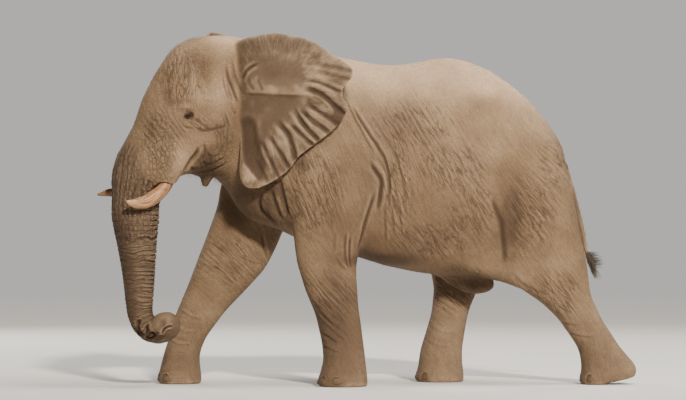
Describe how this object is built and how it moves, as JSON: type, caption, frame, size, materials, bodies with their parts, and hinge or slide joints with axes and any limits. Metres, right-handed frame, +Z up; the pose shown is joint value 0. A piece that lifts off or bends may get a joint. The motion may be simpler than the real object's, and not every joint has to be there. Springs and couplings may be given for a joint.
{
  "type": "elephant",
  "caption": "Life-size still model of an African savanna elephant bull, walking, head turned to its left, trunk tip curled under.",
  "frame": {"origin": "middle of the bounding box at floor level, under the belly", "axes": "+Z up; the bull walks towards -X; its left side faces -Y and its right side +Y"},
  "size_m": [5.701, 2.1408, 3.7702],
  "materials": {
    "skin": "dry dusty hide, sandy grey-brown, matt, with a net of fine cracks and folds",
    "tusk": "cream to orange ivory, half gloss, stained and finely grooved along its length",
    "eye": "wet dark brown",
    "nail": "dull worn horn, dusty",
    "hair": "coarse dark bristles"
  },
  "bodies": {
    "root": {"barrel": "skin", "belly_sheath": "skin", "chest": "skin", "ear_left": "skin", "ear_right": "skin", "eye_left": "eye", "eye_right": "eye", "forefoot_left": "skin", "forefoot_right": "skin", "foreleg_left_lower": "skin", "foreleg_left_upper": "skin", "foreleg_right_lower": "skin", "foreleg_right_upper": "skin", "head": "skin", "hindfoot_left": "skin", "hindfoot_right": "skin", "hindleg_left_lower": "skin", "hindleg_left_upper": "skin", "hindleg_right_lower": "skin", "hindleg_right_upper": "skin", "lower_jaw": "skin", "nail_forefoot_left_1": "nail", "nail_forefoot_left_2": "nail", "nail_forefoot_left_3": "nail", "nail_forefoot_left_4": "nail", "nail_forefoot_right_1": "nail", "nail_forefoot_right_2": "nail", "nail_forefoot_right_3": "nail", "nail_forefoot_right_4": "nail", "nail_hindfoot_left_1": "nail", "nail_hindfoot_left_2": "nail", "nail_hindfoot_left_3": "nail", "nail_hindfoot_right_1": "nail", "nail_hindfoot_right_2": "nail", "nail_hindfoot_right_3": "nail", "neck": "skin", "rump": "skin", "tail": "skin", "tail_tuft": "hair", "trunk_base": "skin", "trunk_lower": "skin", "trunk_middle": "skin", "trunk_tip": "skin", "trunk_upper": "skin", "tusk_left": "tusk", "tusk_right": "tusk"}
  },
  "joints": []
}
